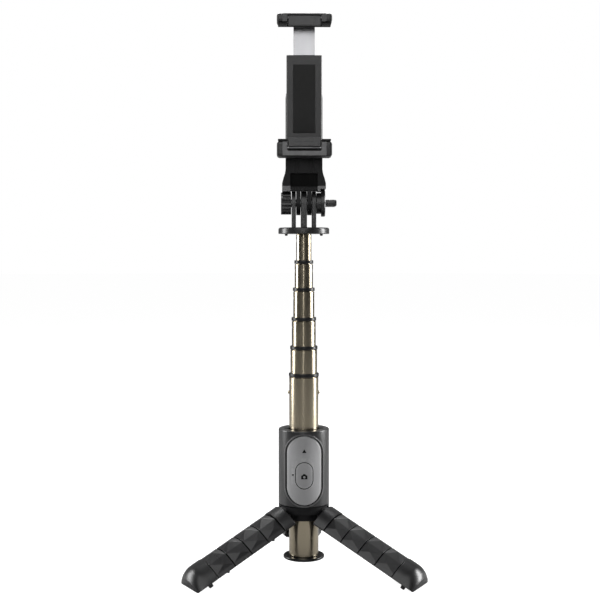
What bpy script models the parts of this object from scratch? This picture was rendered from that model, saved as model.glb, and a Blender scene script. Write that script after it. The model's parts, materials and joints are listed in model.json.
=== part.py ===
"""Selfie stick that opens into a small tripod: a six-section telescopic pole, a sliding hub with
three folding legs, a lift-out shutter remote, a tilting and panning head, and a sprung phone clamp.

The named sizes are millimetres, and the modelling functions turn them into metres.
The origin is the centre of the end disc's flat underside, on the pole's axis. +Z runs up the pole
and -Y is the front, where the remote and the phone are."""

import math

import bmesh
import bpy
from mathutils import Matrix

MM = 0.001
GAP = 0.3  # between solids that touch
SIDES = 40  # flats on a turned piece

# Pole: six tubes, the outermost first
TUBE_RADII = (9.25, 8.4, 7.5, 6.6, 5.7, 4.8)
TUBE_WALL = 0.5
COLLAR_HEIGHT = 2.2
COLLAR_PROUD = 0.25
FIRST_COLLAR_TOP = 116.1
SHOWN = (17.1, 18.0, 18.6, 17.2)  # from one collar's top to the next
HEAD_SHOWN = 16.6
BUSH_HEIGHT = 3.0
DISC_RADIUS = 12.9
DISC_HEIGHT = 1.7
SPIGOT_TOP = 5.0
PIP_HEIGHT = 103.9

# Hub
HUB_RADIUS = 15.95
HUB_BORE = 10.0
HUB_TOP = 81.4
BRACKET_TOP = 34.2
BAND_BOTTOM = 29.8
BRACKET_BOTTOM = 25.4
BRACKET_BORE = 10.55
POST_RADIUS = 12.8
PIP_REACH = 11.05
SLOT_HALF = 4.3
SLOT_TOP = 33.5

# Legs: third parts of the handle's round section, hinged at the hub and spread
PIVOT_REACH = 13.0
PIVOT_HEIGHT = 31.3
SPREAD = math.radians(64.2)
LEG_AZIMUTHS = {"left": -150.0, "right": -30.0, "rear": 90.0}
LEG_RADIUS = 15.9
LEG_HOLLOW = 13.2
LEG_ROOT = 3.3
LEG_LENGTH = 76.9
TOE_START = 62.0
END_WALL = 1.3
# the toe's outside curves in as a quarter of an ellipse, and widens a little as it does
NOSE_START = 68.0
NOSE_DROP = 4.6
NOSE_WIDENING = 0.16
TOE_CHORD = 6.76
FLOOR = -7.4
KNUCKLE_RADIUS = 1.9
KNUCKLE_HALF = 4.0
PIN_RADIUS = 0.95
PIN_HALF = 6.8
PIN_HOLE = 1.25

# Head
PLATE_HEIGHT = 3.9
PLATE_RADIUS = 16.0
TILT_HEIGHT = 222.8
PRONG_RADIUS = 7.5
PRONG_SPANS = ((-7.65, -5.05), (-1.85, 1.85), (5.05, 7.65))
TANG_SPANS = ((-4.75, -2.15), (2.15, 4.75))
BOLT_RADIUS = 2.5
BOLT_HOLE = 2.9
NECK_FRONT = -7.0
NECK_BACK = -2.6
NECK_HALF = 11.5
CHEEK_HALF = 13.65
SWIVEL_HEIGHT = 288.0
SWIVEL_RADIUS = 2.2
SWIVEL_HOLE = 2.5

# Clamp
JAW_HALF = 16.9
JAW_FRONT = -22.5
LOWER_JAW = (250.4, 259.8)
UPPER_JAW = (332.4, 338.0)
PHONE_GAP = (261.3, 330.9)
HOUSING_HALF = 11.0
HOUSING_TOP = 314.0
HOUSING_FRONT = -12.2
HOUSING_BACK = -8.6
FLAP_HALF = 9.8
FLAP_BARREL = 1.4
FLAP_PIN = 0.6
FLAP_AXIS = -21.2
LOWER_FLAP_AXIS = 256.0
UPPER_FLAP_AXIS = 335.2

# Remote
REMOTE_CENTRE = 57.2
REMOTE_SIZE = (21.3, 43.0)
POCKET_SIZE = (23.7, 44.2)
POCKET_FLOOR = -10.5
REMOTE_BACK = -10.8
REMOTE_RADIUS = 15.75
REMOTE_CAVITY = 14.6
BUTTON_CENTRE = 54.25
BUTTON_SIZE = (10.6, 16.1)

# (base colour, roughness, metallic)
FINISHES = {
    "satin_black": ((0.022, 0.022, 0.024), 0.45, 0.0),
    "gloss_black": ((0.008, 0.008, 0.009), 0.2, 0.0),
    "soft_grey": ((0.05, 0.05, 0.053), 0.5, 0.0),
    "bronze_tube": ((0.33, 0.28, 0.21), 0.25, 1.0),
    "steel": ((0.55, 0.55, 0.56), 0.3, 1.0),
    "rubber": ((0.015, 0.015, 0.015), 0.8, 0.0),
    "clear": ((0.6, 0.6, 0.62), 0.2, 0.0),
    "green": ((0.02, 0.12, 0.05), 0.5, 0.0),
}


def new_collection(name):
    """A collection linked to the scene."""
    collection = bpy.data.collections.new(name)
    bpy.context.scene.collection.children.link(collection)
    return collection


def new_materials():
    """A Principled material for each finish."""
    made = {}
    for name, (colour, roughness, metallic) in FINISHES.items():
        material = bpy.data.materials.new(name)
        material.use_nodes = True
        shader = material.node_tree.nodes["Principled BSDF"]
        shader.inputs["Base Color"].default_value = (*colour, 1.0)
        shader.inputs["Roughness"].default_value = roughness
        shader.inputs["Metallic"].default_value = metallic
        made[name] = material
    return made


for leftover in list(bpy.data.objects):
    bpy.data.objects.remove(leftover)
PARTS = new_collection("selfie_stick")
CUTTERS = new_collection("cutters")
MATERIALS = new_materials()


# Modelling functions. Each makes an object in the cutters' collection; keep() makes it a part.


def add_object(name, mesh):
    """An object for the mesh, shown as wire until keep() makes it a part."""
    piece = bpy.data.objects.new(name, mesh)
    piece.hide_render = True
    piece.display_type = "WIRE"
    CUTTERS.objects.link(piece)
    return piece


def keep(piece, finish, parent=None):
    """Makes the piece a part, with its finish, riding on its joint's empty."""
    CUTTERS.objects.unlink(piece)
    PARTS.objects.link(piece)
    piece.hide_render = False
    piece.display_type = "TEXTURED"
    piece.data.materials.clear()
    piece.data.materials.append(MATERIALS[finish])
    if parent:
        piece.parent = parent
        piece.matrix_parent_inverse = Matrix.Translation(parent.location).inverted()
    return piece


def joint_empty(name, across, depth, height, parent=None):
    """An empty on a joint's axis, for the pieces that move with it."""
    empty = bpy.data.objects.new(name, None)
    empty.empty_display_size = 0.01
    PARTS.objects.link(empty)
    empty.location = (across * MM, depth * MM, height * MM)
    if parent:
        empty.parent = parent
        empty.matrix_parent_inverse = Matrix.Translation(parent.location).inverted()
    return empty


def turned(name, profile, closed=True, sides=SIDES):
    """A solid turned about Z. The (radius, height) points start at the outer top and run down."""
    mesh = bpy.data.meshes.new(name)
    points = [(radius * MM, 0.0, height * MM) for radius, height in profile]
    edges = [(i, i + 1) for i in range(len(points) - 1)]
    if closed:
        edges.append((len(points) - 1, 0))
    mesh.from_pydata(points, edges, [])
    piece = add_object(name, mesh)
    screw = piece.modifiers.new("turn", "SCREW")
    screw.steps = sides
    screw.render_steps = sides
    screw.use_merge_vertices = True
    screw.merge_threshold = 0.00001
    return piece


def ring(name, outer, inner, bottom, top, chamfer=0.0, sides=SIDES):
    """A turned ring, with its outer edges chamfered."""
    if chamfer:
        profile = [
            (outer - chamfer, top),
            (outer, top - chamfer),
            (outer, bottom + chamfer),
            (outer - chamfer, bottom),
        ]
    else:
        profile = [(outer, top), (outer, bottom)]
    return turned(name, [*profile, (inner, bottom), (inner, top)], sides=sides)


def shaped(name, fill):
    """An object whose mesh the fill function makes in a new bmesh."""
    mesh = bpy.data.meshes.new(name)
    shape = bmesh.new()
    fill(shape)
    shape.to_mesh(mesh)
    shape.free()
    return add_object(name, mesh)


def rod(name, radius, start, end, axis="Z", centre=(0.0, 0.0, 0.0), end_radius=None, sides=16):
    """A round bar along an axis, from start to end on it, through the centre point."""
    turns = {
        "X": Matrix.Rotation(math.pi / 2, 4, "Y"),
        "Y": Matrix.Rotation(-math.pi / 2, 4, "X"),
        "Z": Matrix(),
    }
    tip_radius = radius if end_radius is None else end_radius
    place = (
        Matrix.Translation([value * MM for value in centre])
        @ turns[axis]
        @ Matrix.Translation((0.0, 0.0, (start + end) / 2 * MM))
    )

    def fill(shape):
        bmesh.ops.create_cone(
            shape,
            cap_ends=True,
            segments=sides,
            radius1=radius * MM,
            radius2=tip_radius * MM,
            depth=abs(end - start) * MM,
            matrix=place,
        )

    return shaped(name, fill)


def box(name, low, high, bevel=0.0, bevel_segments=1):
    """A box between two corners, its edges beveled."""
    size = [(b - a) * MM for a, b in zip(low, high)]
    middle = [(a + b) / 2 * MM for a, b in zip(low, high)]

    def fill(shape):
        bmesh.ops.create_cube(
            shape, size=1.0, matrix=Matrix.Translation(middle) @ Matrix.Diagonal((*size, 1.0))
        )

    piece = shaped(name, fill)
    if bevel:
        rounding = piece.modifiers.new("edges", "BEVEL")
        rounding.width = bevel * MM
        rounding.segments = bevel_segments
    return piece


def prism(name, outline, low, high, plane="XY"):
    """A solid with a flat outline in the plane, from low to high along the plane's normal."""
    curve = bpy.data.curves.new(name, "CURVE")
    curve.dimensions = "2D"
    curve.fill_mode = "BOTH"
    curve.extrude = (high - low) / 2 * MM
    spline = curve.splines.new("POLY")
    spline.points.add(len(outline) - 1)
    for point, (across, along) in zip(spline.points, outline):
        point.co = (across * MM, along * MM, 0.0, 1.0)
    spline.use_cyclic_u = True
    source = add_object(name + "_outline", curve)
    mesh = evaluated_mesh(source)
    bpy.data.objects.remove(source)
    shape = bmesh.new()
    shape.from_mesh(mesh)
    bmesh.ops.remove_doubles(shape, verts=shape.verts, dist=0.000001)
    shape.to_mesh(mesh)
    shape.free()
    middle = (low + high) / 2 * MM
    places = {
        "XY": Matrix.Translation((0.0, 0.0, middle)),
        "XZ": Matrix.Translation((0.0, middle, 0.0)) @ Matrix.Rotation(math.pi / 2, 4, "X"),
        "YZ": Matrix.Translation((middle, 0.0, 0.0)) @ Matrix(
            ((0, 0, 1, 0), (1, 0, 0, 0), (0, 1, 0, 0), (0, 0, 0, 1))
        ),
    }
    mesh.transform(places[plane])
    return add_object(name, mesh)


def evaluated_mesh(piece):
    """A new mesh of the piece with its modifiers' result."""
    return bpy.data.meshes.new_from_object(piece.evaluated_get(bpy.context.evaluated_depsgraph_get()))


def settle(piece, shift=Matrix()):
    """Turns the modifiers' result into the piece's own mesh, moved by shift."""
    mesh = evaluated_mesh(piece)
    piece.modifiers.clear()
    piece.data = mesh
    mesh.transform(shift)
    return piece


def join(piece, *others, operation="UNION"):
    """A live Boolean of the piece with each other solid."""
    for other in others:
        boolean = piece.modifiers.new(other.name, "BOOLEAN")
        boolean.operation = operation
        boolean.solver = "EXACT"
        boolean.object = other
    return piece


def cut(piece, *others):
    """Cuts each other solid away from the piece."""
    return join(piece, *others, operation="DIFFERENCE")


def common(piece, *others):
    """Leaves what the piece shares with each other solid."""
    return join(piece, *others, operation="INTERSECT")


def arc(across, along, radius, start, end, steps=8):
    """Points on an arc between two angles in degrees, ends included."""
    angles = [math.radians(start + (end - start) * i / steps) for i in range(steps + 1)]
    return [(across + radius * math.cos(a), along + radius * math.sin(a)) for a in angles]


def stadium(size, centre, steps=8):
    """An upright outline with straight sides and round ends."""
    width, height = size
    radius = width / 2
    reach = height / 2 - radius
    return arc(0.0, centre + reach, radius, 0, 180, steps) + arc(0.0, centre - reach, radius, 180, 360, steps)


def mirrored(points):
    """Right-hand outline points, then their left-hand mirror images in reverse order."""
    return points + [(-across, along) for across, along in reversed(points)]


# Pole


def collar_tops():
    """Heights of the collars' tops, the main tube's first."""
    tops = [FIRST_COLLAR_TOP]
    for shown in SHOWN:
        tops.append(tops[-1] + shown)
    return tops


def plate_bottom():
    """Height of the head plate's underside."""
    return collar_tops()[-1] + HEAD_SHOWN


def bush_bottoms():
    """Heights of the guide bushes' undersides: stacked when closed, then raised by what is drawn out."""
    drawn = 0.0
    bottoms = []
    for index in range(len(TUBE_RADII) - 1):
        shown = (*SHOWN, HEAD_SHOWN + COLLAR_HEIGHT)[index]
        drawn += shown - COLLAR_HEIGHT - GAP
        bottoms.append(SPIGOT_TOP + GAP + index * (BUSH_HEIGHT + 2 * GAP) + drawn)
    return bottoms


def build_collar(index, parent=None):
    """The black collar on top of a tube."""
    top = collar_tops()[index]
    outer = TUBE_RADII[index] + COLLAR_PROUD
    inner = TUBE_RADII[index + 1] + GAP
    name = "main_collar" if index == 0 else f"collar_{index + 1}"
    collar = ring(name, outer, inner, top - COLLAR_HEIGHT, top, chamfer=0.25)
    return keep(collar, "gloss_black", parent)


def build_main_tube():
    """The outermost tube with its two travel pips, its collar and the end disc."""
    radius = TUBE_RADII[0]
    top = FIRST_COLLAR_TOP - COLLAR_HEIGHT - GAP
    tube = ring("main_tube", radius, radius - TUBE_WALL, DISC_HEIGHT + GAP, top)
    for side, turn in (("right", 0.0), ("left", math.pi)):
        start = radius - 0.3
        pip = rod(
            f"pip_{side}",
            1.3,
            start,
            start + 1.3,
            "X",
            (0.0, 0.0, PIP_HEIGHT),
            end_radius=0.5,
            sides=12,
        )
        pip.data.transform(Matrix.Rotation(turn, 4, "Z"))
        join(tube, pip)
    keep(tube, "bronze_tube")
    build_collar(0)
    profile = [
        (0.0, SPIGOT_TOP),
        (radius - TUBE_WALL - 0.35, SPIGOT_TOP),
        (radius - TUBE_WALL - 0.35, DISC_HEIGHT),
        (DISC_RADIUS - 0.3, DISC_HEIGHT),
        (DISC_RADIUS, DISC_HEIGHT - 0.3),
        (DISC_RADIUS, 0.3),
        (DISC_RADIUS - 0.3, 0.0),
        (0.0, 0.0),
    ]
    keep(turned("end_disc", profile, closed=False), "gloss_black")


def build_sections():
    """The five inner tubes, each with its bush and all but the last with a collar."""
    tops = collar_tops()
    parent = None
    for index, bush_bottom in enumerate(bush_bottoms(), start=1):
        radius = TUBE_RADII[index]
        bottom = bush_bottom + BUSH_HEIGHT + GAP
        is_last = index == len(TUBE_RADII) - 1
        top = (plate_bottom() if is_last else tops[index] - COLLAR_HEIGHT) - GAP
        parent = joint_empty(f"section_{index + 1}_slide", 0.0, 0.0, bottom, parent)
        tube = ring(f"tube_{index + 1}", radius, radius - TUBE_WALL, bottom, top)
        keep(tube, "bronze_tube", parent)
        bush = ring(
            f"guide_bush_{index + 1}",
            radius + 0.05,
            radius - 1.6,
            bush_bottom,
            bush_bottom + BUSH_HEIGHT,
            sides=24,
        )
        keep(bush, "satin_black", parent)
        if not is_last:
            build_collar(index, parent)
    return parent


# Hub and legs


def build_hub():
    """The sliding hub: its shell, leg bracket, guide bush and hinge pins."""
    empty = joint_empty("hub_slide", 0.0, 0.0, BRACKET_TOP)
    shell = ring("hub_shell", HUB_RADIUS, HUB_BORE, BRACKET_TOP + GAP, HUB_TOP, chamfer=0.4, sides=56)
    pocket = prism("remote_pocket", stadium(POCKET_SIZE, REMOTE_CENTRE, 10), -20.0, POCKET_FLOOR, "XZ")
    keyway = box("keyway", (-10.7, -1.7, 54.0), (10.7, 1.7, 85.0))
    cut(shell, pocket, keyway)
    for side in (-1, 1):
        cut(
            shell,
            rod(f"pip_hole_{side}", 1.5, HUB_TOP - 1.7, HUB_TOP + 2, "Z", (side * PIP_REACH, 0.0, 0.0)),
        )
    keep(shell, "satin_black", empty)

    profile = [
        (LEG_RADIUS, BRACKET_TOP),
        (LEG_RADIUS, BAND_BOTTOM),
        (POST_RADIUS, BAND_BOTTOM),
        (POST_RADIUS, BRACKET_BOTTOM),
        (BRACKET_BORE, BRACKET_BOTTOM),
        (BRACKET_BORE, BRACKET_TOP),
    ]
    bracket = turned("hub_bracket", profile, sides=48)
    for side, azimuth in LEG_AZIMUTHS.items():
        turn = Matrix.Rotation(math.radians(azimuth), 4, "Z")
        slot = box(f"slot_{side}", (9.0, -SLOT_HALF, 24.0), (18.0, SLOT_HALF, SLOT_TOP))
        hole = rod(f"hole_{side}", PIN_HOLE, -7.1, 7.1, "Y", (PIVOT_REACH, 0.0, PIVOT_HEIGHT), sides=12)
        pin = rod(
            f"hinge_pin_{side}",
            PIN_RADIUS,
            -PIN_HALF,
            PIN_HALF,
            "Y",
            (PIVOT_REACH, 0.0, PIVOT_HEIGHT),
            sides=12,
        )
        for piece in (slot, hole, pin):
            piece.data.transform(turn)
        cut(bracket, slot, hole)
        keep(pin, "steel", empty)
    keep(bracket, "gloss_black", empty)
    keep(ring("hub_guide_bush", 10.25, 9.55, 25.8, 33.9), "satin_black", empty)
    return empty


def wedge(name):
    """A third of a turn, a little narrower so that folded legs clear each other."""
    apex = 0.17
    reach = 40.0
    outline = [
        (apex, 0.0),
        (apex + reach / 2, -reach * math.sin(math.pi / 3)),
        (apex + reach / 2, reach * math.sin(math.pi / 3)),
    ]
    return prism(name, outline, -90.0, 10.0)


def leg_shell(name, outer, inner, start, end):
    """A third of a ring along the leg, in the leg's frame: its pivot is the origin, and it hangs down."""
    shell = common(ring(name, outer, inner, -end, -start, sides=72), wedge(name + "_wedge"))
    return settle(shell, Matrix.Translation((-PIVOT_REACH * MM, 0.0, 0.0)))


def leg_frame():
    """The leg's inner wall with the hinge knuckle."""
    frame = leg_shell("leg_frame", LEG_HOLLOW + 1.1, LEG_HOLLOW, LEG_ROOT, TOE_START)
    knuckle = rod("knuckle", KNUCKLE_RADIUS, -KNUCKLE_HALF, KNUCKLE_HALF, "Y", sides=20)
    web = box("knuckle_web", (-1.7, -KNUCKLE_HALF + 0.1, -6.0), (1.0, KNUCKLE_HALF - 0.1, 0.0))
    bore = rod("knuckle_bore", PIN_HOLE, -6.0, 6.0, "Y", sides=12)
    return settle(cut(join(frame, knuckle, web), bore))


def nose_fall(along):
    """How far round the nose's quarter ellipse a place along the leg is: 0 where it starts, 1 at its end."""
    reach = max(0.0, (along - NOSE_START) / (LEG_LENGTH - NOSE_START))
    return 1.0 - math.sqrt(max(0.0, 1.0 - reach ** 2))


def leg_toe():
    """The toe cap: a rounded nose with an end wall, two catches, and a flat where it meets the floor."""
    end = -LEG_LENGTH
    steps = 8
    crown = [(LEG_RADIUS, -TOE_START - GAP)]
    for step in range(steps + 1):
        along = NOSE_START + (LEG_LENGTH - NOSE_START) * math.sin(math.pi / 2 * step / steps)
        crown.append((LEG_RADIUS - NOSE_DROP * nose_fall(along), -along))
    profile = [
        *crown,
        (TOE_CHORD + 0.05, end),
        (TOE_CHORD + 0.05, end + END_WALL),
        (LEG_HOLLOW, end + END_WALL),
        (LEG_HOLLOW, -TOE_START - GAP),
    ]
    toe = settle(turned("leg_toe", profile, sides=72))
    for vertex in toe.data.vertices:
        vertex.co.y *= 1.0 + NOSE_WIDENING * nose_fall(-vertex.co.z / MM)
    common(toe, wedge("toe_wedge"))
    cut(toe, box("toe_chord", (-20.0, -20.0, end - 5), (TOE_CHORD, 20.0, end + END_WALL + 0.05)))
    settle(toe, Matrix.Translation((-PIVOT_REACH * MM, 0.0, 0.0)))

    for name, sign, along in (("near", 1, 67.2), ("far", -1, 69.8)):
        reach = sorted((sign * 8.8, sign * 11.0))
        join(toe, box(f"catch_{name}", (-8.45, reach[0], -along - 1.2), (-4.4, reach[1], -along + 1.2)))
    ground = box("ground", (-40.0, -40.0, FLOOR - PIVOT_HEIGHT - 20.0), (140.0, 40.0, FLOOR - PIVOT_HEIGHT))
    ground.data.transform(Matrix.Rotation(SPREAD, 4, "Y"))
    return settle(cut(toe, ground))


def build_legs(hub):
    """Three spread legs that share their meshes, each on an empty at its hinge."""
    pieces = {
        "frame": (leg_frame(), "satin_black"),
        "cover": (
            leg_shell("leg_cover", LEG_RADIUS, LEG_HOLLOW + 1.4, LEG_ROOT, TOE_START - GAP),
            "satin_black",
        ),
        "toe": (leg_toe(), "satin_black"),
    }
    for side, azimuth in LEG_AZIMUTHS.items():
        turn = math.radians(azimuth)
        empty = joint_empty(
            f"leg_{side}_hinge", PIVOT_REACH * math.cos(turn), PIVOT_REACH * math.sin(turn), PIVOT_HEIGHT, hub
        )
        empty.rotation_euler = (0.0, -SPREAD, turn)
        for part, (source, finish) in pieces.items():
            piece = keep(add_object(f"leg_{side}_{part}", source.data), finish)
            piece.parent = empty


# Head


def build_head_base(section):
    """The round plate with its spigot and three prongs, and the nut knob on its left."""
    bottom = plate_bottom()
    top = bottom + PLATE_HEIGHT
    empty = joint_empty("head_pan", 0.0, 0.0, bottom, section)
    spigot = TUBE_RADII[-1] - TUBE_WALL - 0.35
    profile = [
        (0.0, top),
        (PLATE_RADIUS - 1.0, top),
        (PLATE_RADIUS - 0.3, top - 0.3),
        (PLATE_RADIUS, top - 1.0),
        (PLATE_RADIUS, bottom),
        (spigot, bottom),
        (spigot, bottom - 14.0),
        (0.0, bottom - 14.0),
    ]
    base = turned("head_base", profile, closed=False, sides=48)
    outline = [(-PRONG_RADIUS, top - 1.0), (PRONG_RADIUS, top - 1.0)] + arc(
        0.0, TILT_HEIGHT, PRONG_RADIUS, 0, 180, 12
    )
    for index, (low, high) in enumerate(PRONG_SPANS):
        join(base, prism(f"prong_{index}", outline, low, high, "YZ"))
    for side in (-1, 1):
        join(
            base,
            rod(
                f"plate_pip_{side}",
                0.8,
                bottom - 1.25,
                bottom + 1.0,
                "Z",
                (side * PIP_REACH, 0.0, 0.0),
                1.2,
                12,
            ),
        )
    cut(base, rod("tilt_hole", BOLT_HOLE, -12.0, 12.0, "X", (0.0, 0.0, TILT_HEIGHT), sides=20))
    keep(base, "satin_black", empty)

    ribs = 18
    outline = []
    for index in range(ribs * 2):
        turn = math.pi * index / ribs
        radius = 7.1 if index % 2 else 6.5
        outline.append((radius * math.cos(turn), TILT_HEIGHT + radius * math.sin(turn)))
    nut = prism("nut_knob", outline, -14.35, PRONG_SPANS[0][0] - GAP, "YZ")
    cut(nut, rod("nut_bore", BOLT_RADIUS + GAP, -20.0, 0.0, "X", (0.0, 0.0, TILT_HEIGHT), sides=20))
    keep(nut, "satin_black", empty)
    return empty


def build_wing_screw(head):
    """The tilt bolt and its thumb knob."""
    empty = joint_empty("wing_screw_turn", 0.0, 0.0, TILT_HEIGHT, head)
    keep(rod("tilt_bolt", BOLT_RADIUS, -13.9, 12.3, "X", (0.0, 0.0, TILT_HEIGHT), sides=20), "steel", empty)
    start = PRONG_SPANS[-1][1] + GAP
    flange = 10.9
    profile = [
        (0.0, 13.3),
        (8.0, 13.3),
        (8.4, 12.9),
        (8.4, flange),
        (6.6, flange),
        (6.6, start),
        (BOLT_RADIUS + GAP, start),
        (BOLT_RADIUS + GAP, 12.6),
        (0.0, 12.6),
    ]
    knob = settle(turned("wing_knob", profile, closed=False, sides=32), Matrix.Rotation(math.pi / 2, 4, "Y"))
    knob.data.transform(Matrix.Translation((0.0, 0.0, TILT_HEIGHT * MM)))
    blade = box(
        "blade",
        (13.0, -6.4, TILT_HEIGHT - 2.1),
        (20.4, 6.4, TILT_HEIGHT + 2.1),
        bevel=1.0,
        bevel_segments=2,
    )
    keep(join(knob, blade), "satin_black", empty)


def build_neck(head):
    """The neck: two tangs between the prongs, cheeks, and the swivel eye behind the clamp."""
    empty = joint_empty("head_tilt", 0.0, 0.0, TILT_HEIGHT, head)
    body_low = TILT_HEIGHT + PRONG_RADIUS + GAP
    cheek_low = TILT_HEIGHT + 8.9
    front = [
        (7.9, body_low),
        (7.9, cheek_low),
        (CHEEK_HALF, cheek_low),
        (CHEEK_HALF, cheek_low + 3.4),
        (12.9, cheek_low + 6.4),
        (11.9, cheek_low + 9.4),
        (NECK_HALF, cheek_low + 12.0),
        *arc(0.0, SWIVEL_HEIGHT, NECK_HALF, 0, 80, 6),
    ]
    side = [
        (NECK_FRONT, 229.0),
        (5.0, 229.0),
        (5.0, 236.5),
        (3.6, 239.5),
        (0.8, 243.0),
        (-1.7, 246.5),
        (NECK_BACK, 250.5),
        (NECK_BACK, 302.0),
        (NECK_FRONT, 302.0),
    ]
    neck = prism("neck", mirrored(front), NECK_FRONT - 2.0, 8.0, "XZ")
    common(neck, prism("neck_side", side, -20.0, 20.0, "YZ"))
    shoulders = [(6.9, TILT_HEIGHT + 3.0), (4.8, 232.4), (-6.8, 232.4), (-6.9, TILT_HEIGHT + 3.0)]
    outline = arc(0.0, TILT_HEIGHT, PRONG_RADIUS, 180, 360, 12) + shoulders
    for index, (low, high) in enumerate(TANG_SPANS):
        join(neck, prism(f"tang_{index}", outline, low, high, "YZ"))
    for name, low, high in (("nut_side", -CHEEK_HALF, -8.2), ("wing_side", 8.2, 10.3)):
        join(
            neck,
            box(name + "_cheek", (low, NECK_FRONT + 0.1, TILT_HEIGHT + 7.45), (high, 4.9, cheek_low + 0.5)),
        )
    cut(neck, box("neck_recess", (-8.6, -9.0, 233.0), (8.6, -4.6, 241.3)))
    for name, low, high in (("left", -5.8, -3.35), ("right", 3.35, 5.8)):
        cut(neck, box(name + "_groove", (low, -9.0, 240.0), (high, -5.8, 256.0)))
    cut(neck, rod("tang_hole", BOLT_HOLE, -12.0, 12.0, "X", (0.0, 0.0, TILT_HEIGHT), sides=20))
    cut(neck, rod("swivel_hole", SWIVEL_HOLE, -10.0, 10.0, "Y", (0.0, 0.0, SWIVEL_HEIGHT)))
    keep(neck, "satin_black", empty)
    return empty


# Clamp


def flap(name, axis_height, low, high):
    """A flip-out lip on its barrel."""
    half = FLAP_HALF
    plate = box(name, (-half, -22.9, low), (half, -20.9, high), bevel=0.3)
    barrel = rod(name + "_barrel", FLAP_BARREL, -half + 0.1, half - 0.1, "X", (0.0, FLAP_AXIS, axis_height))
    bore = rod(
        name + "_bore",
        FLAP_PIN + GAP,
        -half - 2,
        half + 2,
        "X",
        (0.0, FLAP_AXIS, axis_height),
        sides=12,
    )
    return cut(join(plate, barrel), bore)


def pad_outline():
    """The jaw pads' outline: two arms and the strip that joins them at the back."""
    arm_inner = 10.6
    arm_outer = 16.2
    front = -22.0
    back = -13.4
    return mirrored([(arm_inner, back - 1.8), (arm_inner, front), (arm_outer, front), (arm_outer, back)])


def build_clamp(neck):
    """The lower jaw with its slide housing, cover, swivel bolt, springs, pads and flap."""
    empty = joint_empty("clamp_swivel", 0.0, NECK_FRONT - GAP, SWIVEL_HEIGHT, neck)
    low, high = LOWER_JAW
    jaw = box(
        "lower_jaw",
        (-JAW_HALF, JAW_FRONT, low),
        (JAW_HALF, HOUSING_BACK, high),
        bevel=1.6,
        bevel_segments=2,
    )
    housing = box(
        "housing", (-HOUSING_HALF, HOUSING_FRONT, low + 0.4), (
            HOUSING_HALF, HOUSING_BACK, HOUSING_TOP
        ), bevel=0.4
    )
    channel = box("channel", (-9.7, -11.3, 254.5), (9.7, HOUSING_BACK + 2.0, HOUSING_TOP + 2.0))
    recess = box("lower_recess", (-FLAP_HALF - 0.4, -25.0, 254.0), (FLAP_HALF + 0.4, -14.6, 265.0))
    pin_hole = rod(
        "lower_pin_hole",
        FLAP_PIN + GAP,
        -12.7,
        12.7,
        "X",
        (0.0, FLAP_AXIS, LOWER_FLAP_AXIS),
        sides=12,
    )
    keep(cut(join(jaw, housing), channel, recess, pin_hole), "soft_grey", empty)

    cover = box("housing_cover", (-10.8, -8.3, 251.2), (10.8, NECK_FRONT - GAP, HOUSING_TOP - 0.3), bevel=0.3)
    cut(cover, rod("cover_hole", SWIVEL_HOLE, -12.0, 0.0, "Y", (0.0, 0.0, SWIVEL_HEIGHT)))
    keep(cover, "satin_black", empty)

    profile = [
        (0.0, 1.0),
        (SWIVEL_RADIUS, 1.0),
        (SWIVEL_RADIUS, -8.9),
        (3.2, -8.9),
        (3.2, -11.0),
        (0.0, -11.0),
    ]
    bolt = turned("swivel_bolt", profile, closed=False, sides=20)
    settle(bolt, Matrix.Translation((0.0, 0.0, SWIVEL_HEIGHT * MM)) @ Matrix.Rotation(-math.pi / 2, 4, "X"))
    keep(bolt, "steel", empty)
    for name, radius, start, end, sides in (
        ("swivel_washer", 5.4, -2.3, -1.7, 20),
        ("swivel_nut", 4.4, -1.4, 0.8, 6),
    ):
        fastener = rod(name, radius, start, end, "Y", (0.0, 0.0, SWIVEL_HEIGHT), sides=sides)
        cut(fastener, rod(name + "_hole", SWIVEL_HOLE, -12.0, 5.0, "Y", (0.0, 0.0, SWIVEL_HEIGHT)))
        keep(fastener, "steel", empty)
    for side, sign in (("left", -1), ("right", 1)):
        keep(
            rod(f"clamp_spring_{side}", 0.95, 255.5, 289.7, "Z", (sign * 8.4, -10.0, 0.0), sides=10),
            "steel",
            empty,
        )

    keep(prism("lower_pad", pad_outline(), high + GAP, PHONE_GAP[0]), "rubber", empty)
    keep(box("back_pad", (-7.0, -13.1, 266.0), (7.0, HOUSING_FRONT - GAP, 308.0)), "rubber", empty)
    keep(
        rod("lower_flap_pin", FLAP_PIN, -12.4, 12.4, "X", (0.0, FLAP_AXIS, LOWER_FLAP_AXIS), sides=10),
        "steel",
        empty,
    )
    hinge = joint_empty("lower_flap_fold", 0.0, FLAP_AXIS, LOWER_FLAP_AXIS, empty)
    keep(flap("lower_flap", LOWER_FLAP_AXIS, LOWER_FLAP_AXIS, PHONE_GAP[0] + 0.9), "soft_grey", hinge)
    return empty


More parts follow.
